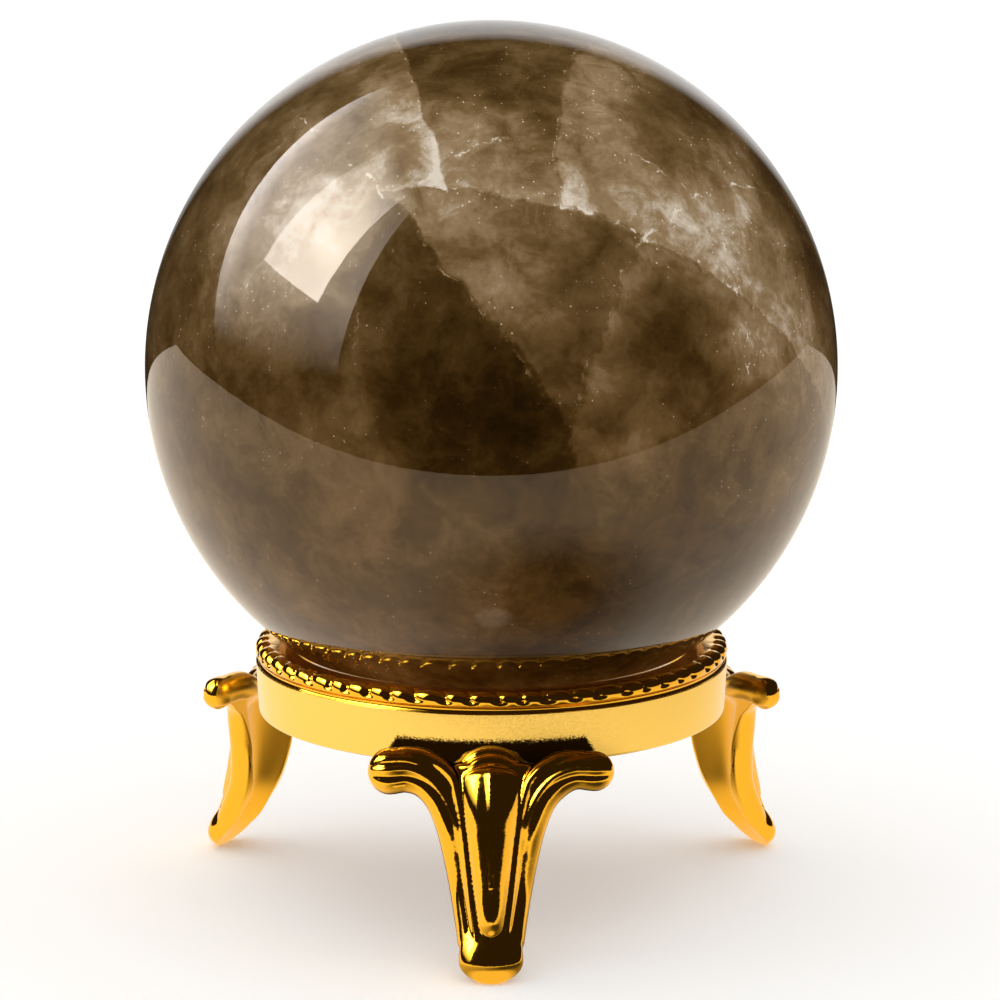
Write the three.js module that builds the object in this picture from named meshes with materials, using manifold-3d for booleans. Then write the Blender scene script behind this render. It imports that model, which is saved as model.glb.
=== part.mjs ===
// A polished quartz ball resting on a gold-plated stand. The stand is a flat band with a beaded rim
// soldered on top of it, and three cast legs brazed to its outside.
// Millimetres, +Z up. The origin is on the table, under the middle of the ball.
import * as THREE from 'three';
import * as BufferGeometryUtils from 'three/addons/utils/BufferGeometryUtils.js';
import Module from 'manifold-3d';

const wasm = await Module();
wasm.setup();

// the ball
const BALL_RADIUS = 30;
const BALL_SIDES = 40;

// the band: a flat strip bent into a hoop
const BAND_RADIUS = 20.7;
const BAND_THICKNESS = 1.1;
const BAND_BOTTOM = 16.6;
const BAND_HEIGHT = 4.4;
const BAND_CHAMFER = 0.2;
const BAND_SIDES = 72;

// the beaded rim: its beads, and the conical seat inside it that carries the ball
const RIM_HEIGHT = 1.6;
const SEAT_RADIUS = 17.6;
const SEAT_HALF_WIDTH = 0.8;
const BEADS = 57;
const STEPS_PER_BEAD = 3;
const BEAD_RADIUS = 0.9;
const BEAD_GROOVE = 0.35;
const BEAD_OVERHANG = 0.1;
const BEAD_ARC_DEGREES = [-30, 5, 35, 65, 90];
const RIM_FOOT_INSET = 0.2;

// what touching pieces keep between them: the solder line, and the ball's play in its seat
const GAP = 0.3;

// how near two corners of a mesh are when they count as one
const SAME_POINT = 1e-4;

const BAND_TOP = BAND_BOTTOM + BAND_HEIGHT;
const RIM_BOTTOM = BAND_TOP + GAP;
const RIM_TOP = RIM_BOTTOM + RIM_HEIGHT;

// The ball's surface passes one gap above the circle in the middle of the seat, and runs parallel to
// the seat's cone there.
const SEAT_DEPTH = 0.7;
const SEAT_HEIGHT = RIM_TOP - SEAT_DEPTH;
const BALL_DROP = Math.sqrt((BALL_RADIUS + GAP) ** 2 - SEAT_RADIUS ** 2);
const BALL_CENTRE = SEAT_HEIGHT + BALL_DROP;
const SEAT_SLOPE = SEAT_RADIUS / BALL_DROP;

// the legs, in a frame with +X outward from the stand's axis and +Z up
const LEG_AZIMUTHS = { leg_front: -90, leg_back_right: 30, leg_back_left: 150 };
const RIB_SIDES = 14;
const RIB_STEPS = 16;
const LEAF_SIDES = 10;
const LEAF_STEPS = 15;
const END_ROUNDING = 0.09;
const TABLE_SIZE = 40;
const TABLE_DEPTH = 10;

// Each bar of the leg: [outward, sideways, up, half width, half depth], from the top to the foot.
const RIB = [
  [20.6, 0, 17.0, 2.5, 1.3],
  [23.2, 0, 16.1, 2.75, 1.6],
  [24.9, 0, 13.9, 2.6, 2.0],
  [25.2, 0, 11.2, 2.1, 2.0],
  [25.2, 0, 8.4, 1.8, 1.9],
  [25.8, 0, 5.6, 1.9, 1.8],
  [27.1, 0, 2.8, 2.4, 1.8],
  [28.2, 0, -0.5, 2.3, 1.6],
];
const LEAF = [
  [22.6, 9.9, 16.7, 1.9, 1.7],
  [22.7, 7.4, 16.9, 1.7, 1.6],
  [23.0, 4.8, 16.0, 1.6, 1.6],
  [23.9, 3.3, 13.4, 1.6, 1.6],
  [24.3, 2.8, 10.2, 1.4, 1.5],
  [24.7, 2.2, 7.0, 1.2, 1.4],
  [25.9, 1.7, 4.2, 1.1, 1.3],
  [27.4, 1.3, 1.4, 1.0, 1.2],
];
const CHANNEL = [
  [21.3, 0, 15.4, 2.2, 1.5],
  [21.7, 0, 12.0, 2.7, 1.6],
  [21.9, 0, 8.5, 2.2, 1.5],
  [22.9, 0, 5.2, 1.3, 1.2],
];

const quartz = new THREE.MeshStandardMaterial({ color: 0x4a3818, roughness: 0.05, metalness: 0 });
const satinGold = new THREE.MeshStandardMaterial({ color: 0xe6b030, roughness: 0.38, metalness: 1 });
const polishedGold = new THREE.MeshStandardMaterial({ color: 0xd99a1c, roughness: 0.12, metalness: 1 });

// A closed manifold solid from a three.js geometry whose faces point outward.
function toSolid(geometry) {
  const bare = geometry.clone();
  bare.deleteAttribute('normal');
  bare.deleteAttribute('uv');
  const merged = BufferGeometryUtils.mergeVertices(bare, SAME_POINT);
  const mesh = new wasm.Mesh({
    numProp: 3,
    vertProperties: new Float32Array(merged.attributes.position.array),
    triVerts: new Uint32Array(merged.index.array),
  });
  return new wasm.Manifold(mesh);
}

function toGeometry(solid) {
  const mesh = solid.getMesh();
  const geometry = new THREE.BufferGeometry();
  geometry.setAttribute('position', new THREE.BufferAttribute(mesh.vertProperties, 3));
  geometry.setIndex(new THREE.BufferAttribute(mesh.triVerts, 1));
  geometry.computeVertexNormals();
  return geometry;
}

// A ring turned about Z from a closed section of [radius, height] points.
function turnedRing(section, sides) {
  const points = [...section, section[0]].map(([radius, height]) => new THREE.Vector2(radius, height));
  return new THREE.LatheGeometry(points, sides).rotateX(Math.PI / 2);
}

function ballGeometry() {
  return new THREE.SphereGeometry(BALL_RADIUS, BALL_SIDES, BALL_SIDES / 2)
    .rotateX(Math.PI / 2)
    .translate(0, 0, BALL_CENTRE);
}

function bandGeometry() {
  const inner = BAND_RADIUS - BAND_THICKNESS;
  return turnedRing([
    [inner, BAND_BOTTOM],
    [BAND_RADIUS - BAND_CHAMFER, BAND_BOTTOM],
    [BAND_RADIUS, BAND_BOTTOM + BAND_CHAMFER],
    [BAND_RADIUS, BAND_TOP],
    [inner, BAND_TOP],
  ], BAND_SIDES);
}

// The rim's section is flat below, with a quarter of a bead outside and the seat inside. Grooves pull
// the round part in towards the bead's middle, so that a row of beads stands all round.
function rimGeometry() {
  const seatInner = SEAT_RADIUS - SEAT_HALF_WIDTH;
  const seatOuter = SEAT_RADIUS + SEAT_HALF_WIDTH;
  const seatHeight = (radius) => SEAT_HEIGHT + (radius - SEAT_RADIUS) * SEAT_SLOPE;
  const bead = new THREE.Vector2(BAND_RADIUS + BEAD_OVERHANG - BEAD_RADIUS, RIM_TOP - BEAD_RADIUS);
  const arc = BEAD_ARC_DEGREES.map((degrees) => {
    const angle = THREE.MathUtils.degToRad(degrees);
    return [bead.x + BEAD_RADIUS * Math.cos(angle), bead.y + BEAD_RADIUS * Math.sin(angle)];
  });
  const geometry = turnedRing([
    [seatInner, RIM_BOTTOM],
    [BAND_RADIUS - RIM_FOOT_INSET, RIM_BOTTOM],
    ...arc,
    [seatOuter, seatHeight(seatOuter)],
    [seatInner, seatHeight(seatInner)],
  ], BEADS * STEPS_PER_BEAD);
  const place = geometry.attributes.position;
  for (let i = 0; i < place.count; i += 1) {
    const azimuth = Math.atan2(place.getY(i), place.getX(i));
    const point = new THREE.Vector2(Math.hypot(place.getX(i), place.getY(i)), place.getZ(i));
    if (Math.abs(point.distanceTo(bead) - BEAD_RADIUS) > SAME_POINT * 10) continue;
    const groove = 1 - Math.abs(Math.sin(azimuth * BEADS / 2));
    point.lerp(bead, groove * BEAD_GROOVE / BEAD_RADIUS);
    place.setXYZ(i, point.x * Math.cos(azimuth), point.x * Math.sin(azimuth), point.y);
  }
  return geometry;
}

// A bar with an elliptical section that follows a smooth curve through the stations, with round
// ends: a sphere whose parallels become the sections. Its depth lies outward from the stand.
function barGeometry(stations, sides, steps) {
  const path = new THREE.CatmullRomCurve3(stations.map(([x, y, z]) => new THREE.Vector3(x, y, z)));
  const size = new THREE.CatmullRomCurve3(stations.map(([, , , w, d]) => new THREE.Vector3(w, d, 0)));
  const geometry = new THREE.SphereGeometry(1, sides, steps);
  const place = geometry.attributes.position;
  const outward = new THREE.Vector3(1, 0, 0);
  for (let i = 0; i < place.count; i += 1) {
    const along = (1 - place.getY(i)) / 2;
    const around = Math.atan2(place.getZ(i), place.getX(i));
    const toEnd = Math.min(along, 1 - along);
    const fullness = toEnd >= END_ROUNDING ? 1 : Math.sqrt(1 - (1 - toEnd / END_ROUNDING) ** 2);
    const tangent = path.getTangent(along);
    const depth = outward.clone().addScaledVector(tangent, -outward.dot(tangent)).normalize();
    const width = new THREE.Vector3().crossVectors(depth, tangent);
    const half = size.getPoint(along).multiplyScalar(fullness);
    const point = path.getPoint(along)
      .addScaledVector(width, half.x * Math.cos(around))
      .addScaledVector(depth, half.y * Math.sin(around));
    place.setXYZ(i, point.x, point.y, point.z);
  }
  return geometry;
}

const mirrored = (stations) => stations.map(([x, y, z, w, d]) => [x, -y, z, w, d]);

// One cast leg: a middle rib between two leaves that curl out at the top, hollowed along its inner
// side, cut to the band's curve where it is brazed on, and cut flat where it stands.
function legGeometry() {
  const rib = toSolid(barGeometry(RIB, RIB_SIDES, RIB_STEPS));
  const leaf = toSolid(barGeometry(LEAF, LEAF_SIDES, LEAF_STEPS));
  const otherLeaf = toSolid(barGeometry(mirrored(LEAF), LEAF_SIDES, LEAF_STEPS));
  const channel = toSolid(barGeometry(CHANNEL, LEAF_SIDES, LEAF_STEPS));
  const reach = BAND_RADIUS + GAP;
  const height = BAND_HEIGHT * 2;
  const saddle = toSolid(new THREE.CylinderGeometry(reach, reach, height, BAND_SIDES)
    .rotateX(Math.PI / 2)
    .translate(0, 0, BAND_BOTTOM - GAP + height / 2));
  const table = toSolid(new THREE.BoxGeometry(TABLE_SIZE, TABLE_SIZE, TABLE_DEPTH)
    .translate(BAND_RADIUS, 0, -TABLE_DEPTH / 2));
  return toGeometry(rib.add(leaf).add(otherLeaf).subtract(channel).subtract(saddle).subtract(table));
}

function piece(name, geometry, material) {
  const mesh = new THREE.Mesh(geometry, material);
  mesh.name = name;
  return mesh;
}

const crystalBall = new THREE.Group();
crystalBall.add(piece('quartz_ball', ballGeometry(), quartz));
crystalBall.add(piece('ring_band', bandGeometry(), satinGold));
crystalBall.add(piece('bead_rim', rimGeometry(), polishedGold));

const leg = legGeometry();
for (const [name, azimuth] of Object.entries(LEG_AZIMUTHS)) {
  const mesh = piece(name, leg, polishedGold);
  mesh.rotation.z = THREE.MathUtils.degToRad(azimuth);
  crystalBall.add(mesh);
}

export default crystalBall;
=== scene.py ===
"""A polished ball of smoky quartz on a gold-plated ring stand with three cast legs."""

import math

import bpy
import numpy as np
from mathutils import Euler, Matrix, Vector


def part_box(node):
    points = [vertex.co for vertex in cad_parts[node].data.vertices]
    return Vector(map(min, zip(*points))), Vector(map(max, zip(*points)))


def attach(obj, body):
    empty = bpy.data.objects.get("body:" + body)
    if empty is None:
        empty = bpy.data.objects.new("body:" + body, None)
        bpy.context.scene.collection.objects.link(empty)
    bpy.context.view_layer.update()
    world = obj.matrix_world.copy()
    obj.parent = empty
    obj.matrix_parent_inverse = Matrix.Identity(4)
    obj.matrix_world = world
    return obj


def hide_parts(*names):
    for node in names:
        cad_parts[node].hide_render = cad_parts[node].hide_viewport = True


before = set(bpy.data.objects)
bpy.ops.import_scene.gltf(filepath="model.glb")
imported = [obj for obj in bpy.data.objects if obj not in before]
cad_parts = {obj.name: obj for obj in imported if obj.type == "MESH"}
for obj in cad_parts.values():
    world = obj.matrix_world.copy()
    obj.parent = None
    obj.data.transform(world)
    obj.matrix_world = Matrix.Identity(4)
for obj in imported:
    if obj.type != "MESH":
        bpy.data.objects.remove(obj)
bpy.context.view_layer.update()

# ---------------------------------------------------------------------------------------------
# The studio: a sheet of lit paper under the stand, a softbox on the left and a dark room. The
# dark room gives polished gold its brown shadows, and the paper's edge gives the ball its line.
# ---------------------------------------------------------------------------------------------
scene = bpy.context.scene
scene.view_settings.view_transform = "Standard"
scene.view_settings.look = "None"

MM = 0.001
ball_low, ball_high = (np.array(corner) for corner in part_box("quartz_ball"))
ball_centre = (ball_low + ball_high) / 2
ball_radius = (ball_high[2] - ball_low[2]) / 2

camera_data = bpy.data.cameras.new("camera")
camera_data.sensor_width = 36.0
camera_data.lens = 173.2
camera_data.clip_start = 0.01
camera = bpy.data.objects.new("camera", camera_data)
scene.collection.objects.link(camera)
camera_distance = 14.0 * ball_radius
camera_elevation = math.radians(11.8)
aim = np.array([0.025 * ball_radius, 0.0, 1.169 * ball_radius])
camera.location = aim + camera_distance * np.array(
    [0.0, -math.cos(camera_elevation), math.sin(camera_elevation)]
)
camera.rotation_euler = (math.pi / 2 - camera_elevation, 0.0, 0.0)
scene.camera = camera


def linear(hex_colour):
    """An sRGB hex colour as the four linear values that shaders take."""
    values = np.array([int(hex_colour[i : i + 2], 16) for i in (1, 3, 5)]) / 255.0
    low = values / 12.92
    high = ((values + 0.055) / 1.055) ** 2.4
    return (*np.where(values <= 0.04045, low, high).tolist(), 1.0)


def add_node(tree, kind, inputs=None, **settings):
    """Adds a shader node of that kind with its attributes set to the settings.

    inputs gives each input, by its name or number, its own value or the socket that feeds it."""
    node = tree.nodes.new(kind)
    for name, value in settings.items():
        setattr(node, name, value)
    for name, value in (inputs or {}).items():
        if isinstance(value, bpy.types.NodeSocket):
            tree.links.new(value, node.inputs[name])
        else:
            node.inputs[name].default_value = value
    return node


def combined(tree, operation, values):
    """The first value and the second taken together by the operation, then the third, and so on."""
    result = values[0]
    for value in values[1:]:
        pair = {0: result, 1: value}
        result = add_node(tree, "ShaderNodeMath", pair, operation=operation).outputs[0]
    return result


def stepped(tree, *steps, ease="LINEAR"):
    """The product of steps, each of which carries a value from low..high to at_low..at_high.

    A step is (value, low, high, at_low, at_high), or without the last two it runs from 0 to 1. It
    is held beyond its ends, and ease is the curve between them."""
    factors = []
    for value, low, high, *ends in steps:
        at_low, at_high = ends or (0.0, 1.0)
        node = add_node(
            tree, "ShaderNodeMapRange",
            {"Value": value, "From Min": low, "From Max": high, "To Min": at_low, "To Max": at_high},
            interpolation_type=ease,
        )
        factors.append(node.outputs[0])
    return combined(tree, "MULTIPLY", factors)


def new_material(name):
    """An empty node material, with its tree and its output node."""
    material = bpy.data.materials.new(name)
    material.use_nodes = True
    material.node_tree.nodes.clear()
    output = add_node(material.node_tree, "ShaderNodeOutputMaterial")
    return material, material.node_tree, output


def add_mesh(name, points, face_groups, material):
    """A smooth mesh object at the origin, from points and from arrays of faces, one per shape."""
    corners = np.concatenate([group.ravel() for group in face_groups]).astype(np.int32)
    sizes = np.concatenate([np.full(len(group), group.shape[1]) for group in face_groups])
    starts = np.concatenate([[0], np.cumsum(sizes)[:-1]]).astype(np.int32)
    data = bpy.data.meshes.new(name)
    data.vertices.add(len(points))
    data.vertices.foreach_set("co", np.asarray(points, np.float32).ravel())
    data.loops.add(len(corners))
    data.loops.foreach_set("vertex_index", corners)
    data.polygons.add(len(sizes))
    data.polygons.foreach_set("loop_start", starts)
    data.polygons.foreach_set("use_smooth", np.ones(len(sizes), bool))
    data.update(calc_edges=True)
    data.materials.append(material)
    piece = bpy.data.objects.new(name, data)
    scene.collection.objects.link(piece)
    return piece


# The floor that the camera sees: matt white paper.
paper, tree, output = new_material("matt_white_paper")
shader = add_node(
    tree, "ShaderNodeBsdfPrincipled",
    {
        "Base Color": linear("#fdfcfa"), "Roughness": 0.9, "IOR": 1.3,
        "Emission Color": linear("#fdfcfa"), "Emission Strength": 0.12,
    },
)
tree.links.new(shader.outputs[0], output.inputs["Surface"])
floor_half = 3.0
corners = floor_half * np.array([[-1, -1, 0], [1, -1, 0], [1, 1, 0], [-1, 1, 0]])
floor = add_mesh("floor", corners, [np.array([[0, 1, 2, 3]])], paper)
floor.visible_glossy = False

# What polished surfaces see of the paper: a long sheet whose front edge bows away to the sides. It
# glows more on the left, towards the softbox, and lies in shade under the ball and before it,
# but for the light that gathers round the front foot.
sheet_light, tree, output = new_material("lit_paper")
sheet_place = add_node(tree, "ShaderNodeNewGeometry").outputs["Position"]


def reach(centre, near, far, at_near, at_far):
    """A value that runs from at_near to at_far between two distances, in millimetres, of a point."""
    distance = add_node(
        tree, "ShaderNodeVectorMath",
        {0: sheet_place, 1: (centre[0] * MM, centre[1] * MM, 0.0)}, operation="DISTANCE",
    )
    return stepped(tree, (distance.outputs["Value"], near * MM, far * MM, at_near, at_far))


sheet_x = add_node(tree, "ShaderNodeSeparateXYZ", {0: sheet_place}).outputs["X"]
leftward = stepped(tree, (sheet_x, -0.15, 0.15, 1.3, 0.9))
under = reach((0, 0), 12, 24, 0.04, 1.0)
before = reach((14, -38), 10, 34, 0.06, 1.0)
foot_glow = reach((0, -30.5), 2.5, 5, 0.9, 0.0)
front_light = combined(tree, "MAXIMUM", [before, foot_glow])
lit = combined(tree, "MULTIPLY", [front_light, under, leftward])
glow = add_node(tree, "ShaderNodeEmission", {"Strength": lit, "Color": linear("#fff2e0")})
tree.links.new(glow.outputs[0], output.inputs["Surface"])
# The front edge is an arc of radius 0.8 round a point 0.678 behind the ball, and the back edge is
# two straight lines that meet behind it.
sheet_columns = 96
across = 0.79 * np.sin(np.linspace(-math.pi / 2, math.pi / 2, sheet_columns))
front_edge = 0.678 - np.sqrt(0.8**2 - across**2)
back_edge = 0.18 + 0.5 * np.abs(across)
level = np.full(sheet_columns, -1e-4)
sheet_points = np.vstack([
    np.stack([across, front_edge, level], 1), np.stack([across, back_edge, level], 1),
])
near = np.arange(sheet_columns - 1)
far = near + sheet_columns
sheet = add_mesh("lit_sheet", sheet_points, [np.stack([near, near + 1, far + 1, far], 1)], sheet_light)
sheet.visible_camera = False
sheet.visible_diffuse = False
sheet.visible_shadow = False


def panel(name, side, corners, strength):
    """A light panel in the plane x = side, with its corners given as y and z.

    strength makes the emission from the tree and the y and z sockets of the place."""
    material, tree, output = new_material(name)
    place = add_node(tree, "ShaderNodeNewGeometry").outputs["Position"]
    split = add_node(tree, "ShaderNodeSeparateXYZ", {0: place})
    power = strength(tree, split.outputs["Y"], split.outputs["Z"])
    glow = add_node(tree, "ShaderNodeEmission", {"Strength": power, "Color": linear("#f4f7ff")})
    tree.links.new(glow.outputs[0], output.inputs["Surface"])
    points = np.array([[side, y, z] for y, z in corners])
    light = add_mesh(name, points, [np.array([[0, 1, 2, 3]])], material)
    light.visible_camera = False
    light.visible_diffuse = False
    light.visible_shadow = False


def softbox_power(tree, y, z):
    """Brightest along its near edge, and gone before its top."""
    return stepped(tree, (y, -0.16, 0.03, 17.0, 8.0), (z, 0.30, 0.75, 1.0, 0.0))


def diffuser_power(tree, y, z):
    """Dim, but for a bright hem along its far edge, and gone at its foot and its top."""
    far_edge = add_node(
        tree, "ShaderNodeMath", {0: z, 1: 0.67, 2: 0.008}, operation="MULTIPLY_ADD"
    ).outputs[0]
    inside = combined(tree, "SUBTRACT", [far_edge, y])
    return stepped(
        tree, (inside, 0.015, 0.075, 7.5, 3.6), (z, 0.07, 0.22), (z, 0.35, 0.85, 1.0, 0.0)
    )


# The softbox: a tall panel on the left, with a wide dim diffuser behind it.
panel("softbox", -0.30, [(-0.163, 0.189), (0.004, 0.190), (0.03, 0.75), (-0.235, 0.75)], softbox_power)
panel("diffuser", -0.31, [(-0.262, 0.06), (0.048, 0.06), (0.577, 0.85), (-0.33, 0.85)], diffuser_power)

# The room: white to the camera and to matt surfaces, dark to polished ones, but for the white
# wall far behind.
world = bpy.data.worlds.new("studio")
world.use_nodes = True
world.cycles.sampling_method = "NONE"
scene.world = world
tree = world.node_tree
tree.nodes.clear()
direction = add_node(tree, "ShaderNodeTexCoord").outputs["Generated"]
behind = add_node(
    tree, "ShaderNodeVectorMath", {0: direction, 1: (0.0, 1.0, 0.2)}, operation="DOT_PRODUCT"
).outputs["Value"]
room = add_node(
    tree, "ShaderNodeMix",
    {0: stepped(tree, (behind, 0.945, 0.99)), 6: linear("#2a241f"), 7: linear("#ffffff")},
    data_type="RGBA",
).outputs[2]
ray = add_node(tree, "ShaderNodeLightPath").outputs["Is Glossy Ray"]
seen = add_node(
    tree, "ShaderNodeMix", {0: ray, 6: (1.0, 1.0, 1.0, 1.0), 7: room}, data_type="RGBA"
).outputs[2]
backdrop = add_node(tree, "ShaderNodeBackground", {"Color": seen})
add_node(tree, "ShaderNodeOutputWorld", {"Surface": backdrop.outputs[0]})

# ---------------------------------------------------------------------------------------------
# The band: a flat strip of brass bent into a hoop, satin-brushed and gold-plated. The legs are
# brazed to its outside.
# ---------------------------------------------------------------------------------------------


def turned(sections, around):
    """Points and faces of a ring from closed sections, one row for each point of the section.

    sections is an array [point, 2] or [point, around, 2] of radius and height, which run
    counter-clockwise with the radius to the right; each is turned to its own azimuth."""
    azimuth = np.linspace(0, 2 * math.pi, around, endpoint=False)
    if sections.ndim == 2:
        sections = np.repeat(sections[:, None], around, axis=1)
    radius, height = sections[..., 0], sections[..., 1]
    points = np.stack([radius * np.cos(azimuth), radius * np.sin(azimuth), height], -1)
    rows = len(sections)
    i, j = np.meshgrid(np.arange(rows), np.arange(around), indexing="ij")
    here, there = i * around, ((i + 1) % rows) * around
    onward = (j + 1) % around
    faces = np.stack([here + j, here + onward, there + onward, there + j], -1)
    return points.reshape(-1, 3), faces.reshape(-1, 4)


def rounded(corners, fillets, steps=7):
    """A closed outline with each corner replaced by an arc-like curve.

    Each is the quadratic curve from one fillet length before the corner to one after it."""
    corners = np.asarray(corners, float)
    before, after = np.roll(corners, 1, 0) - corners, np.roll(corners, -1, 0) - corners
    fillets = np.asarray(fillets, float)[:, None]
    start = corners + fillets * before / np.linalg.norm(before, axis=1, keepdims=True)
    end = corners + fillets * after / np.linalg.norm(after, axis=1, keepdims=True)
    t = np.linspace(0, 1, steps)[None, :, None]
    curve = (1 - t) ** 2 * start[:, None] + 2 * t * (1 - t) * corners[:, None] + t**2 * end[:, None]
    return curve.reshape(-1, 2)


def gold_plate(name, base, roughness, grain_mm, spread, bump_mm):
    """Gold plate over brass: full metal, with grain that moves the roughness and the surface.

    grain_mm is the size of a grain, spread how far the roughness moves, and bump_mm its depth."""
    material, tree, output = new_material(name)
    place = add_node(tree, "ShaderNodeTexCoord").outputs["Object"]
    grain = add_node(
        tree, "ShaderNodeTexNoise", {"Vector": place, "Scale": 1 / (grain_mm * MM), "Detail": 2.0}
    ).outputs["Fac"]
    bump = add_node(
        tree, "ShaderNodeBump", {"Height": grain, "Strength": 1.0, "Distance": bump_mm * MM}
    ).outputs[0]
    grained = stepped(tree, (grain, 0.3, 0.7, roughness - spread, roughness + spread))
    shader = add_node(
        tree, "ShaderNodeBsdfPrincipled",
        {"Base Color": linear(base), "Metallic": 1.0, "Roughness": grained, "Normal": bump},
    )
    tree.links.new(shader.outputs[0], output.inputs["Surface"])
    return material, tree, shader, grained


# Satin-brushed plate: a fine grain about 0.2 mm across breaks up what it reflects. Its gold is
# painted paler than the rim's and the legs', as painted light for the brighter light on the band.
satin_colour_painted_paler = "#ffd66c"
satin_gold, tree, shader, _ = gold_plate("satin_gold_plate", satin_colour_painted_paler, 0.2, 0.2, 0.05, 0.003)

band_low, band_high = (np.array(corner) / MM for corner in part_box("ring_band"))

# Painted shade and reflection: a dark patch is painted on the outside of the band above each leg,
# with a ragged edge, where the band lies in shade and mirrors the leg's dark top. It grows
# downward from its rise, 2.2 mm over the band's foot, and the cosine of three times the angle round
# the band is 1 at each leg.
painted_shade_rise, painted_shade_softness, raggedness = 2.2, 0.45, 2.4
place = add_node(tree, "ShaderNodeTexCoord").outputs["Object"]
ragged = add_node(
    tree, "ShaderNodeTexNoise", {"Vector": place, "Scale": 1 / (0.12 * MM), "Detail": 2.0}
).outputs["Fac"]
split = add_node(tree, "ShaderNodeSeparateXYZ", {0: place})
angle = combined(tree, "ARCTAN2", [split.outputs["Y"], split.outputs["X"]])
angle = add_node(
    tree, "ShaderNodeMath", {0: angle, 1: 3.0, 2: -math.pi / 2}, operation="MULTIPLY_ADD"
).outputs[0]
facing = add_node(tree, "ShaderNodeMath", {0: angle}, operation="COSINE").outputs[0]
beside = stepped(tree, (facing, 0.05, 0.38, -raggedness, 0.0))
downward = add_node(
    tree, "ShaderNodeMath",
    {0: split.outputs["Z"], 1: -1 / (painted_shade_softness * MM), 2: (band_low[2] + painted_shade_rise) / painted_shade_softness},
    operation="MULTIPLY_ADD",
).outputs[0]
painted_shade = add_node(
    tree, "ShaderNodeMath", {0: ragged, 1: raggedness, 2: downward}, operation="MULTIPLY_ADD"
).outputs[0]
painted_shade = add_node(
    tree, "ShaderNodeMath", {0: beside, 1: 3.0, 2: painted_shade}, operation="MULTIPLY_ADD"
).outputs[0]
flat = add_node(
    tree, "ShaderNodeVectorMath", {0: place, 1: (1.0, 1.0, 0.0)}, operation="MULTIPLY"
).outputs[0]
from_axis = add_node(tree, "ShaderNodeVectorMath", {0: flat}, operation="LENGTH").outputs["Value"]
outside = combined(tree, "GREATER_THAN", [from_axis, (band_high[0] - 0.8) * MM])
painted_shade = combined(tree, "MULTIPLY", [stepped(tree, (painted_shade, 1.0, 1.6)), outside])
# The painted shade: over the patch the plate's colour turns near black.
painted_shade_mix = add_node(
    tree, "ShaderNodeMix", {0: painted_shade, 6: linear(satin_colour_painted_paler), 7: linear("#1c0f00")},
    data_type="RGBA",
)
tree.links.new(painted_shade_mix.outputs[2], shader.inputs["Base Color"])
band_wall = 1.1
band_radius = band_high[0]
band_inside = band_radius - band_wall
band_top = band_high[2]
band_section = rounded(
    [[band_radius, band_low[2]], [band_radius, band_top], [band_inside, band_top],
     [band_inside, band_low[2]]],
    [0.28, 0.03, 0.1, 0.2],
)
band_around = 360
azimuth = np.linspace(0, 2 * math.pi, band_around, endpoint=False)
# The hoop was rounded by hand, so its radius wanders by about a hundredth of a millimetre.
waviness = 0.012 * np.sin(7 * azimuth + 1) + 0.008 * np.sin(17 * azimuth)
band_rows = np.repeat(band_section[:, None], band_around, axis=1)
# The wall leans in by 3 degrees towards its foot, the draft that lets such a hoop leave its die.
draft = math.tan(math.radians(3)) * (band_section[:, 1] - band_top)
band_rows[..., 0] += waviness + draft[:, None] - 0.01
points, faces = turned(band_rows, band_around)
band = add_mesh("satin_band", points * MM, [faces], satin_gold)
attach(band, "stand")
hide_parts("ring_band")

# ---------------------------------------------------------------------------------------------
# The beaded rim: brass wire rolled with beads and closed into a ring, polished, plated, and
# soldered on top of the band. A hollow runs under its beads, and the slope inside them carries
# the ball.
# ---------------------------------------------------------------------------------------------
# Polished plate: mirror bright, with faint ripples left by the buffing wheel.
polished_gold = gold_plate("polished_gold_plate", "#ffbe34", 0.07, 0.35, 0.03, 0.004)[0]

rim_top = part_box("bead_rim")[1][2] / MM
beads = 57
steps_per_bead = 16
rim_around = beads * steps_per_bead
azimuth = np.linspace(0, 2 * math.pi, rim_around, endpoint=False)
bead_radius = 0.86
bead_centre = np.array([band_radius - bead_radius, rim_top - bead_radius])
arc = np.radians(np.linspace(-26, 118, 27))
crown = bead_centre + bead_radius * np.stack([np.cos(arc), np.sin(arc)], 1)
hollow = np.array([band_radius, band_top]) + np.array(
    [[-0.05, 0.0], [-0.24, 0.06], [-0.34, 0.2], [-0.34, 0.4], [-0.22, 0.58]]
)
seat = [[18.9, 22.75], [18.2, 22.68], [17.6, 22.5], [17.1, 22.1], [16.9, 21.6], [17.2, band_top + 0.02]]
rim_section = np.vstack([hollow, crown, seat])
rim_rows = np.repeat(rim_section[:, None], rim_around, axis=1)
# A bead is a half circle long: its height above the groove is the square root of 1-(2s-1)^2, with
# s running from 0 to 1 along it. The pitch drifts a little, and each groove leans, because the
# beads were rolled on with a twist.
drift = 0.011 * np.sin(9 * azimuth + 0.6) + 0.007 * np.sin(23 * azimuth + 2.0)
lean = 0.07 * (arc - arc[0])
along = (beads * (azimuth + drift) / (2 * math.pi))[None, :] + lean[:, None]
swell = np.sqrt(np.maximum(0, 1 - (2 * (along % 1) - 1) ** 2))
# The grooves fade in over 18 degrees of the bead's round and fade out over 30.
degrees = np.degrees(arc)
cut_in = np.clip((degrees + 20) / 18, 0, 1) * np.clip((118 - degrees) / 30, 0, 1)
groove_depth = 0.5
depth = groove_depth * (1 - swell) * cut_in[:, None]
first = len(hollow)
rows = slice(first, first + len(arc))
rim_rows[rows] += (bead_centre - rim_rows[rows]) * (depth / bead_radius)[..., None]
points, faces = turned(rim_rows, rim_around)
rim = add_mesh("beaded_rim", points * MM, [faces], polished_gold)
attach(rim, "stand")
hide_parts("bead_rim")

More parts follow.
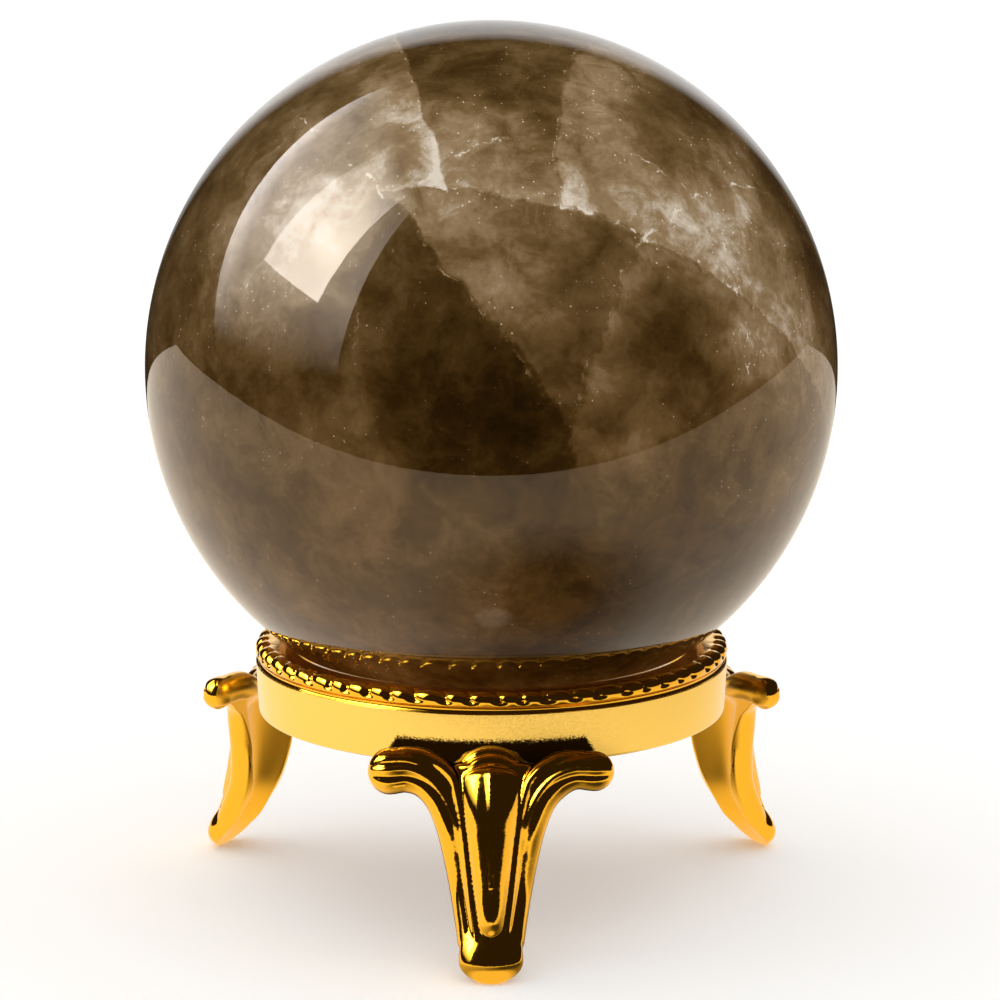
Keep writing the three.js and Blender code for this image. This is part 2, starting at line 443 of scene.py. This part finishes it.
# ---------------------------------------------------------------------------------------------
# The legs: three brass castings from one pattern, a middle rib between two fluted leaves that
# curl out into knobs, on a shell that is hollow behind. They are plated all over, and polished on
# the outside.
# ---------------------------------------------------------------------------------------------


def spline(stations, along):
    """Catmull-Rom curve through the rows of stations, at the values of along from 0 to 1.

    Between rows p1 and p2 it is the cubic whose slopes there are (p2-p0)/2 and (p3-p1)/2."""
    rows = np.asarray(stations, float)
    padded = np.vstack([2 * rows[0] - rows[1], rows, 2 * rows[-1] - rows[-2]])
    place = np.clip(along, 0, 1) * (len(rows) - 1)
    span = np.minimum(place.astype(int), len(rows) - 2)
    t = (place - span)[:, None]
    p0, p1, p2, p3 = (padded[span + k] for k in range(4))
    return 0.5 * (
        2 * p1 + (p2 - p0) * t + (2 * p0 - 5 * p1 + 4 * p2 - p3) * t**2
        + (3 * p1 - p0 - 3 * p2 + p3) * t**3
    )


def bar(stations, cap=None, bend=0.0, flutes=(), around=56, length=130):
    """A bar with round ends: an ellipse carried along a curve, in millimetres.

    A station is x, y, z, half width, half depth. Along the bar u runs as (1-cos)/2, and within one
    cap of an end the section shrinks as the square root of 1-(1-s)^2, which rounds it. Round the
    section, width goes as cos v and depth, towards x, as sin v. bend adds bend sin^2 v, which
    hollows the back, and a flute at angle c, width w and depth d takes off d exp(-((v-c)/w)^2),
    less where the bar is thin."""
    u = (1 - np.cos(np.linspace(0, math.pi, length))) / 2
    rows = spline(stations, u)
    centre, half = rows[:, :3], rows[:, 3:5]
    step = np.gradient(centre, axis=0)
    tangent = step / np.maximum(np.linalg.norm(step, axis=1, keepdims=True), 1e-9)
    run = np.concatenate([[0], np.cumsum(np.linalg.norm(np.diff(centre, axis=0), axis=1))])
    to_end = np.minimum(run / (cap or half[0, 0]), (run[-1] - run) / (cap or half[-1, 0]))
    full = np.sqrt(1 - (1 - np.clip(to_end, 0, 1)) ** 2)
    outward = np.array([1.0, 0.0, 0.0])
    out = outward - tangent * (tangent @ outward)[:, None]
    out /= np.linalg.norm(out, axis=1, keepdims=True)
    side = np.cross(out, tangent)
    v = np.linspace(0, 2 * math.pi, around, endpoint=False)
    depth = np.sin(v) + bend * np.sin(v) ** 2
    depth = np.repeat(depth[None], length, axis=0)
    shallow = np.clip((half[:, 0] - 1.0) / 0.5, 0, 1)[:, None]
    for centre_angle, wide, deep in flutes:
        dip = np.exp(-(((v - math.radians(centre_angle)) / math.radians(wide)) ** 2))
        depth -= deep * dip * shallow
    points = (
        centre[:, None]
        + side[:, None] * (half[:, 0] * full)[:, None, None] * np.cos(v)[None, :, None]
        + out[:, None] * (half[:, 1] * full)[:, None, None] * depth[..., None]
    )
    i, j = np.meshgrid(np.arange(length - 1), np.arange(around), indexing="ij")
    here, onward = i * around + j, i * around + (j + 1) % around
    faces = np.stack([here, onward, onward + around, here + around], -1)
    return points.reshape(-1, 3), faces.reshape(-1, 4)


def joined(bars):
    """One set of points and faces from many."""
    starts = np.cumsum([0] + [len(points) for points, _ in bars[:-1]])
    return (
        np.vstack([points for points, _ in bars]),
        np.vstack([faces + start for (_, faces), start in zip(bars, starts)]),
    )


def head_fold(rise, reach):
    """One of the cast folds over the rib's head: a thin bar bent over it in an arch.

    At angle a from the top, y goes as sin a, and the fold drops as 1-cos a."""
    half_spread, height, half_thickness = 2.45, 2.0, 0.44
    a = np.radians(np.linspace(-105, 105, 11))
    width = half_spread * np.sin(a)
    drop = height * (1 - np.cos(a))
    thick = np.full_like(a, half_thickness)
    stations = np.stack([reach + 0.22 * drop, width, rise - half_thickness - drop, thick, thick * 1.5], 1)
    return bar(stations, around=24)


def leaf(hand, knob):
    """A leaf from its knob to the foot; hand is 1 or -1, the side that it grows on."""
    stations = [
        [22.9, hand * 10.3, 16.75, knob, knob],
        [22.9, hand * 8.6, 16.75, knob, knob],
        [22.8, hand * 6.9, 16.7, 0.92 * knob, 1.6],
        [22.9, hand * 5.3, 16.0, 1.65, 1.6],
        [23.4, hand * 4.05, 14.6, 1.55, 1.55],
        [23.9, hand * 3.2, 12.4, 1.45, 1.45],
        [24.2, hand * 2.65, 9.8, 1.35, 1.3],
        [24.7, hand * 2.25, 7.0, 1.2, 1.2],
        [25.9, hand * 1.9, 4.4, 1.1, 1.1],
        [27.1, hand * 1.7, 2.2, 1.0, 1.0],
    ]
    lip_groove, main_flute = (60, 8, 0.20), (90, 13, 0.16)
    flutes = [lip_groove, main_flute]
    if hand > 0:
        flutes = [(180 - angle, wide, deep) for angle, wide, deep in flutes]
    return bar(stations, flutes=flutes)


def lip(hand, knob):
    """The raised edge along a leaf's top, which meets the rib in a notch and runs down beside it."""
    top = 16.75 + knob
    return bar([
        [22.7, hand * 9.2, top - 0.75, 0.5, 0.9],
        [22.6, hand * 7.4, top - 0.6, 0.6, 1.0],
        [22.6, hand * 5.9, top - 0.65, 0.6, 1.0],
        [22.7, hand * 4.8, top - 1.05, 0.6, 1.1],
        [22.9, hand * 3.8, top - 1.65, 0.6, 1.2],
        [23.2, hand * 3.05, top - 2.6, 0.55, 1.3],
        [23.8, hand * 2.6, 14.0, 0.5, 1.3],
        [24.3, hand * 2.25, 11.5, 0.5, 1.25],
        [24.9, hand * 1.95, 9.0, 0.5, 1.2],
        [25.6, hand * 1.65, 6.6, 0.5, 1.15],
        [26.5, hand * 1.35, 4.4, 0.45, 1.1],
        [27.4, hand * 1.15, 2.8, 0.4, 1.0],
    ])


def leg_bars(left_knob, right_knob):
    """The bars that one leg is cast from, in millimetres, with x outward and z up."""
    shell = [
        [21.7, 0, 17.4, 4.2, 0.8],
        [22.2, 0, 16.2, 4.8, 0.95],
        [22.9, 0, 14.2, 4.6, 0.95],
        [23.2, 0, 11.5, 4.05, 0.95],
        [23.4, 0, 8.9, 3.6, 0.95],
        [24.1, 0, 6.2, 3.1, 1.0],
        [25.5, 0, 3.8, 2.75, 1.05],
        [27.1, 0, 1.4, 2.4, 1.1],
    ]
    rib = [
        [22.8, 0, 17.1, 2.4, 1.3],
        [23.6, 0, 15.9, 2.5, 1.6],
        [24.35, 0, 14.2, 2.35, 1.85],
        [24.9, 0, 11.8, 2.0, 1.85],
        [25.5, 0, 9.4, 1.7, 1.75],
        [26.15, 0, 7.0, 1.4, 1.6],
        [26.85, 0, 4.9, 1.1, 1.45],
        [27.5, 0, 3.3, 0.8, 1.0],
    ]
    foot = [
        [25.5, 0, 5.4, 1.8, 1.0],
        [26.7, 0, 3.5, 2.45, 1.3],
        [27.6, 0, 2.0, 2.7, 1.5],
        [28.1, 0, 0.7, 2.5, 1.4],
        [28.2, 0, -0.25, 1.9, 1.2],
    ]
    brazing_pad = [
        [21.2, 0, 18.2, 2.2, 1.0],
        [21.2, 0, 17.4, 2.6, 1.0],
        [21.2, 0, 16.7, 3.4, 1.0],
        [21.5, 0, 15.6, 3.4, 1.0],
    ]
    keel = (90, 6, -0.13)
    return [
        bar(shell, cap=0.8, bend=0.9),
        bar(rib, cap=1.3, flutes=[keel]),
        bar(foot),
        bar(brazing_pad, cap=0.5),
        head_fold(18.66, 21.9),
        head_fold(18.15, 22.6),
        head_fold(17.55, 23.25),
        leaf(-1, left_knob),
        leaf(1, right_knob),
        lip(-1, left_knob),
        lip(1, right_knob),
    ]


def evaluated(piece):
    """Applies the piece's modifiers to its mesh."""
    bpy.context.view_layer.update()
    shaped = piece.evaluated_get(bpy.context.evaluated_depsgraph_get())
    data = bpy.data.meshes.new_from_object(shaped)
    piece.modifiers.clear()
    piece.data = data


# The hollow behind a leg: rows of height, the shell's edge there, and half the leg's width.
HOLLOW = spline([
    [0.0, 28.3, 2.3], [0.9, 27.5, 2.6], [2.3, 26.1, 2.8], [3.7, 24.8, 2.95], [5.1, 23.7, 3.1],
    [6.6, 23.15, 3.35], [9.0, 22.95, 3.85], [12.0, 22.85, 4.45], [15.0, 22.7, 5.4],
], np.linspace(0, 1, 200))
HOLLOW_TOP = 15.8
HOLLOW_DEPTH = 1.8
SHELL_WALL = 0.75
SADDLE_REACH = 22.3


def hollowed(points):
    """Leg points pushed outward to a smooth hollow: the shell's edge, deeper by 1-(y/w)^2 inside it.

    The hollow fades out into the foot over 5 mm, and ends under the band within 2 mm, each as
    3s^2-2s^3. The second result is 1 for points that lie in it or face the band, and 0 elsewhere."""
    x, y, z = points.T
    edge = np.interp(z, HOLLOW[:, 0], HOLLOW[:, 1])
    width = np.interp(z, HOLLOW[:, 0], HOLLOW[:, 2]) - SHELL_WALL
    rise, fall = np.clip(z / 5, 0, 1), np.clip((HOLLOW_TOP - z) / 2, 0, 1)
    deep = HOLLOW_DEPTH * rise**2 * (3 - 2 * rise) * fall**2 * (3 - 2 * fall)
    floor_x = edge + deep * np.maximum(0, 1 - (y / width) ** 2)
    below_band = z < HOLLOW_TOP
    moved = points.copy()
    moved[:, 0] = np.where(below_band, np.maximum(x, floor_x), x)
    inside = (below_band & (x < floor_x + 0.2)) | (x < SADDLE_REACH)
    return moved, inside.astype(float)


def leg_points(leg, new=None):
    """The leg mesh's points in millimetres; new points replace them."""
    if new is not None:
        leg.data.vertices.foreach_set("co", (new * MM).astype(np.float32).ravel())
        leg.data.update()
        return new
    points = np.empty(len(leg.data.vertices) * 3, np.float32)
    leg.data.vertices.foreach_get("co", points)
    return points.reshape(-1, 3).astype(float) / MM


# The leg is cast at a tilt, so that the grid of the casting leaves no terraces on its flat sides.
CASTING_TILT = np.array(Euler((0.5, 0.6, 0.4)).to_matrix())


def plated_leg(name, azimuth, left_knob, right_knob):
    """Casts the bars into one skin, hollows its back, and turns it to its place."""
    points, faces = joined(leg_bars(left_knob, right_knob))
    points[:, 2] = np.maximum(points[:, 2], 0)
    leg = add_mesh(name + "_casting", points @ CASTING_TILT * MM, [faces], leg_gold)
    skin = leg.modifiers.new("cast", "REMESH")
    skin.mode = "VOXEL"
    skin.voxel_size = 0.12 * MM
    skin.use_smooth_shade = True
    evaluated(leg)
    leg.data.materials.clear()
    leg.data.materials.append(leg_gold)
    points, inside = hollowed(leg_points(leg) @ CASTING_TILT.T)
    leg_points(leg, points)
    unpolished = leg.data.attributes.new("unpolished", "FLOAT", "POINT")
    unpolished.data.foreach_set("value", inside.astype(np.float32))
    ease = leg.modifiers.new("fillets", "SMOOTH")
    ease.factor = 0.5
    ease.iterations = 7
    evaluated(leg)
    c, s = math.cos(azimuth), math.sin(azimuth)
    points = leg_points(leg)
    points[:, 2] = np.maximum(points[:, 2], 0)
    leg_points(leg, points @ np.array([[c, s, 0], [-s, c, 0], [0, 0, 1]]))
    # Polished surfaces don't mirror the legs: the ball would show a dark leg just over the ring.
    leg.visible_glossy = False
    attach(leg, "stand")
    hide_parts(name)


# The same plate as the rim's, but dull in the hollow that no buffing wheel reaches.
leg_gold, tree, shader, buffed = gold_plate("buffed_gold_plate", "#ffbe34", 0.08, 0.35, 0.03, 0.005)
hollow_side = add_node(tree, "ShaderNodeAttribute", attribute_name="unpolished")
dulled = add_node(tree, "ShaderNodeMix", {0: hollow_side.outputs["Fac"], 2: buffed, 3: 0.42})
tree.links.new(dulled.outputs[0], shader.inputs["Roughness"])

for name, azimuth, left_knob, right_knob in (
    ("leg_front", -90, 1.98, 1.68),
    ("leg_back_left", 150, 1.45, 1.45),
    ("leg_back_right", 30, 1.45, 1.45),
):
    plated_leg(name, math.radians(azimuth), left_knob, right_knob)

# ---------------------------------------------------------------------------------------------
# The ball: one piece of smoky quartz, ground and polished. Its clear skin is drawn apart from
# its heart, where milky veils, healed cracks and dark wells hide what is behind them, and where
# some light and shade is painted into the colour.
# ---------------------------------------------------------------------------------------------


def globe(radius, around=256, rows=128):
    """A closed sphere round the ball's centre: radius times (sin a cos b, sin a sin b, -cos a)."""
    a = np.linspace(0, math.pi, rows + 1)[1:-1]
    b = np.linspace(0, 2 * math.pi, around, endpoint=False)
    a, b = np.meshgrid(a, b, indexing="ij")
    body = np.stack([np.sin(a) * np.cos(b), np.sin(a) * np.sin(b), -np.cos(a)], -1).reshape(-1, 3)
    poles = np.array([[0, 0, -1], [0, 0, 1]])
    points = np.vstack([body, poles]) * radius + ball_centre
    i, j = np.meshgrid(np.arange(rows - 2), np.arange(around), indexing="ij")
    here, onward = i * around + j, i * around + (j + 1) % around
    quads = np.stack([here, onward, onward + around, here + around], -1).reshape(-1, 4)
    j = np.arange(around)
    onward = (j + 1) % around
    bottom, top = len(body), len(body) + 1
    last = (rows - 2) * around
    south = np.stack([np.full(around, bottom), onward, j], 1)
    north = np.stack([np.full(around, top), last + j, last + onward], 1)
    return points, [quads, south, north]


# The skin: clear quartz with a mirror polish and a faint brown tint.
skin_quartz, tree, output = new_material("polished_smoky_quartz")
shader = add_node(
    tree, "ShaderNodeBsdfPrincipled",
    {
        "Base Color": linear("#ffffff"), "Roughness": 0.015, "IOR": 1.544,
        "Transmission Weight": 1.0, "Specular Tint": linear("#ffefd8"),
    },
)
tree.links.new(shader.outputs[0], output.inputs["Surface"])
tint = add_node(tree, "ShaderNodeVolumeAbsorption", {"Color": linear("#c9a878"), "Density": 14.0})
tree.links.new(tint.outputs[0], output.inputs["Volume"])
points, face_groups = globe(ball_radius)
skin = add_mesh("polished_ball", points, face_groups, skin_quartz)
skin.visible_shadow = False
skin.visible_diffuse = False
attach(skin, "ball")
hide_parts("quartz_ball")

# The heart: what is seen inside depends only on the direction from the ball's middle, so each
# crack is a flat cut through that direction, warped by noise.
heart_quartz, tree, output = new_material("veiled_smoky_quartz")


def veil(*steps):
    """The product of steps that each rise or fall smoothly; a step is written as for stepped."""
    return stepped(tree, *steps, ease="SMOOTHSTEP")


def bearing(azimuth, height):
    """The direction at azimuth degrees round from the front, to the right, and height degrees up."""
    a, h = math.radians(azimuth), math.radians(height)
    return (math.sin(a) * math.cos(h), -math.cos(a) * math.cos(h), math.sin(h))


place = add_node(tree, "ShaderNodeTexCoord").outputs["Object"]
centred = add_node(
    tree, "ShaderNodeMapping", {"Vector": place, "Location": tuple(-ball_centre)}, vector_type="POINT"
).outputs[0]
outward = add_node(tree, "ShaderNodeVectorMath", {0: centred}, operation="NORMALIZE").outputs[0]

# Noise of many sizes, from banks of mist about 12 mm across to grit of half a millimetre: a name,
# its cells to the ball's radius, detail, roughness and distortion.
noises = {}
for name, cells, detail, roughness, distortion in (
    ("jitter", 7.0, 6.0, 0.65, 0.0),
    ("mist", 2.6, 8.0, 0.62, 0.3),
    ("curd", 8.0, 8.0, 0.68, 0.5),
    ("grit", 60.0, 3.0, 0.6, 0.0),
    ("breaks", 14.0, 6.0, 0.75, 0.0),
    ("patches", 5.0, 3.0, 0.6, 0.0),
    ("frost", 38.0, 6.0, 0.8, 0.0),
):
    noises[name] = add_node(tree, "ShaderNodeTexNoise", {
        "Vector": outward, "Scale": cells, "Detail": detail, "Roughness": roughness,
        "Distortion": distortion,
    }).outputs

wander = 0.11
shift = add_node(
    tree, "ShaderNodeVectorMath",
    {0: noises["jitter"]["Color"], 1: (wander,) * 3, 2: (-wander / 2,) * 3}, operation="MULTIPLY_ADD",
).outputs[0]
warped = add_node(tree, "ShaderNodeVectorMath", {0: outward, 1: shift}, operation="ADD").outputs[0]


def beyond(normal, offset):
    """How far the warped direction lies beyond the plane with that normal and offset."""
    dot = add_node(tree, "ShaderNodeVectorMath", {0: warped, 1: normal}, operation="DOT_PRODUCT")
    return combined(tree, "SUBTRACT", [dot.outputs["Value"], offset])


def cloud(azimuth, height, size, strength):
    """A soft cloud: strength at its bearing, falling smoothly to 0 at size from it."""
    distance = add_node(
        tree, "ShaderNodeVectorMath", {0: warped, 1: bearing(azimuth, height)}, operation="DISTANCE"
    ).outputs["Value"]
    return veil((distance, size, 0.0, 0.0, strength))


# The cracks, each a plane given by its normal and its offset, and two planes to place them by.
arch = beyond((0.16, 0.69, 0.70), -0.055)
slope = beyond((0.79, 0.25, 0.56), -0.06)
upright = beyond((0.96, 0.06, 0.26), 0.0)
right_wall = beyond((0.92, -0.25, 0.32), 0.574)
left_wall = beyond((0.22, -0.93, 0.28), 0.79)
fork = beyond((0.84, -0.53, -0.12), 0.718)
rightward = beyond((1.0, 0.0, 0.0), 0.0)
upward = beyond((0.0, 0.0, 1.0), 0.0)

# Milk gathers on one side of each crack and thins away from it. Some cracks show only to the right
# of a line, or above one.
arch_seen = (rightward, -0.30, -0.16)
slope_seen = (upward, -0.02, 0.1)
above_arch = veil((arch, 0.0, 0.012), (arch, 0.4, 0.0, 0.0, 0.17), arch_seen)
past_slope = veil((slope, 0.0, 0.012), (slope, 0.35, 0.0, 0.0, 0.19), (arch, 0.03, -0.03), slope_seen)
left_of_upright = veil((upright, 0.008, -0.008), (upright, -0.7, 0.0, 0.0, 0.21), (arch, -0.45, 0.1))
cut_off = combined(tree, "MAXIMUM", [veil((arch, -0.012, 0.0)), veil((rightward, -0.26, -0.38))])
past_wall = veil((right_wall, 0.0, 0.012), (right_wall, 0.3, 0.0, 0.0, 0.14), (arch, -0.02, 0.0))
past_fork = veil(
    (fork, 0.0, 0.012), (fork, 0.35, 0.0, 0.0, 0.15), (arch, 0.03, -0.03), (upward, -0.3, -0.05)
)
in_well = veil((left_wall, 0.0, 0.012), (slope, 0.01, -0.01, 0.0, -0.05))

# Clouds of milk, and dark wells where the last number is below 0. Some are painted light and
# shade: the bright clouds high on the left, at azimuths -35 to -64, are a painted glow of the
# softbox's light in the stone, and the dark clouds at heights -5 to -45 are painted shade, darker
# towards the bottom.
clouds_and_painted_light = [
    cloud(-35, 45, 0.55, 0.20),
    cloud(-41, 27, 0.40, 0.20),
    cloud(-59, 19, 0.40, 0.20),
    cloud(-64, 36, 0.35, 0.14),
    cloud(29, 39, 0.35, 0.20),
    cloud(60, 20, 0.40, 0.24),
    cloud(50, 39, 0.45, 0.17),
    cloud(70, 34, 0.30, 0.16),
    cloud(60, 2, 0.45, 0.10),
    cloud(24, 22, 0.16, 0.14),
    cloud(52, 9, 0.20, 0.16),
    cloud(2, 26, 0.28, 0.08),
    cloud(-6, 49, 0.32, 0.20),
    cloud(3, 5, 0.45, -0.30),
    cloud(31, 12, 0.28, -0.24),
    cloud(-14, 10, 0.35, 0.08),
    cloud(39, -34, 0.60, -0.22),
    cloud(40, 62, 0.50, 0.12),
    cloud(15, -45, 0.75, -0.16),
    cloud(-50, -12, 0.60, 0.06),
    cloud(120, 30, 0.70, 0.25),
    cloud(200, -5, 0.60, -0.20),
    cloud(-120, 40, 0.60, 0.22),
    cloud(170, 50, 0.50, 0.20),
]
base_tone = 0.42
milk_and_painted_light = combined(tree, "ADD", [
    above_arch, past_slope, combined(tree, "MULTIPLY", [left_of_upright, cut_off]), past_wall,
    past_fork, in_well, *clouds_and_painted_light,
    veil((noises["mist"]["Fac"], 0.25, 0.75, -0.16, 0.16)),
    veil((noises["curd"]["Fac"], 0.3, 0.7, -0.09, 0.11)),
    veil((noises["grit"]["Fac"], 0.3, 0.7, -0.02, 0.02)),
    base_tone,
])

# The cracks' own edges catch the light in broken white threads.
edges = (
    (arch, 0.010, arch_seen), (slope, 0.006, slope_seen), (upright, 0.007, (arch, -0.06, 0.0)),
    (right_wall, 0.005, (arch, -0.02, 0.0)), (left_wall, 0.004, slope_seen),
    (fork, 0.006, slope_seen),
)
threads = []
for crack, wide, seen in edges:
    distance = add_node(tree, "ShaderNodeMath", {0: crack}, operation="ABSOLUTE").outputs[0]
    threads.append(veil((distance, wide, 0.0), seen, (noises["breaks"]["Fac"], 0.48, 0.66)))
thread = add_node(
    tree, "ShaderNodeMath", {0: combined(tree, "ADD", threads), 1: 0.42}, operation="MULTIPLY",
    use_clamp=True,
).outputs[0]

# Specks: bright bubbles in patches, at most one to a cell of half a millimetre, which is as fine
# as shows. Frost lies where a crack's face is rough.
bubbles = add_node(tree, "ShaderNodeTexVoronoi", {"Vector": outward, "Scale": 62.0})
chance = add_node(tree, "ShaderNodeSeparateColor", {0: bubbles.outputs["Color"]}).outputs[0]
specks = veil(
    (bubbles.outputs["Distance"], 0.22, 0.06), (chance, 0.68, 0.74),
    (noises["patches"]["Fac"], 0.40, 0.62),
)
frosted = combined(tree, "ADD", [
    cloud(52, 10, 0.16, 0.9), cloud(43, 25, 0.12, 0.8), cloud(-5, 46, 0.16, 0.5),
    cloud(-49, 0, 0.22, 0.5), cloud(24, 22, 0.10, 0.5), cloud(100, 10, 0.25, 0.8),
    cloud(-150, 20, 0.25, 0.8),
])
frost = combined(tree, "MULTIPLY", [veil((noises["frost"]["Fac"], 0.58, 0.74)), frosted, 0.6])
bright = combined(tree, "ADD", [thread, combined(tree, "MULTIPLY", [specks, 0.55]), frost])
tone = add_node(
    tree, "ShaderNodeMath", {0: milk_and_painted_light, 1: bright}, operation="ADD", use_clamp=True
).outputs[0]

# The tone's colours run from a dark well through smoky brown to white milk.
colours = add_node(tree, "ShaderNodeValToRGB", {"Fac": tone})
stops = [
    (0.0, "#3e2a08"), (0.18, "#563c14"), (0.38, "#755629"), (0.6, "#98784a"),
    (0.8, "#bfa27a"), (1.0, "#f6ead6"),
]
elements = colours.color_ramp.elements
while len(elements) < len(stops):
    elements.new(0.5)
for element, (position, colour) in zip(elements, stops):
    element.position = position
    element.color = linear(colour)
shader = add_node(
    tree, "ShaderNodeBsdfPrincipled",
    {"Base Color": colours.outputs["Color"], "Roughness": 0.6, "Specular IOR Level": 0.0},
)
tree.links.new(shader.outputs[0], output.inputs["Surface"])
heart_share = 0.86
points, face_groups = globe(heart_share * ball_radius, 192, 96)
heart = add_mesh("veiled_heart", points, face_groups, heart_quartz)
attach(heart, "ball")
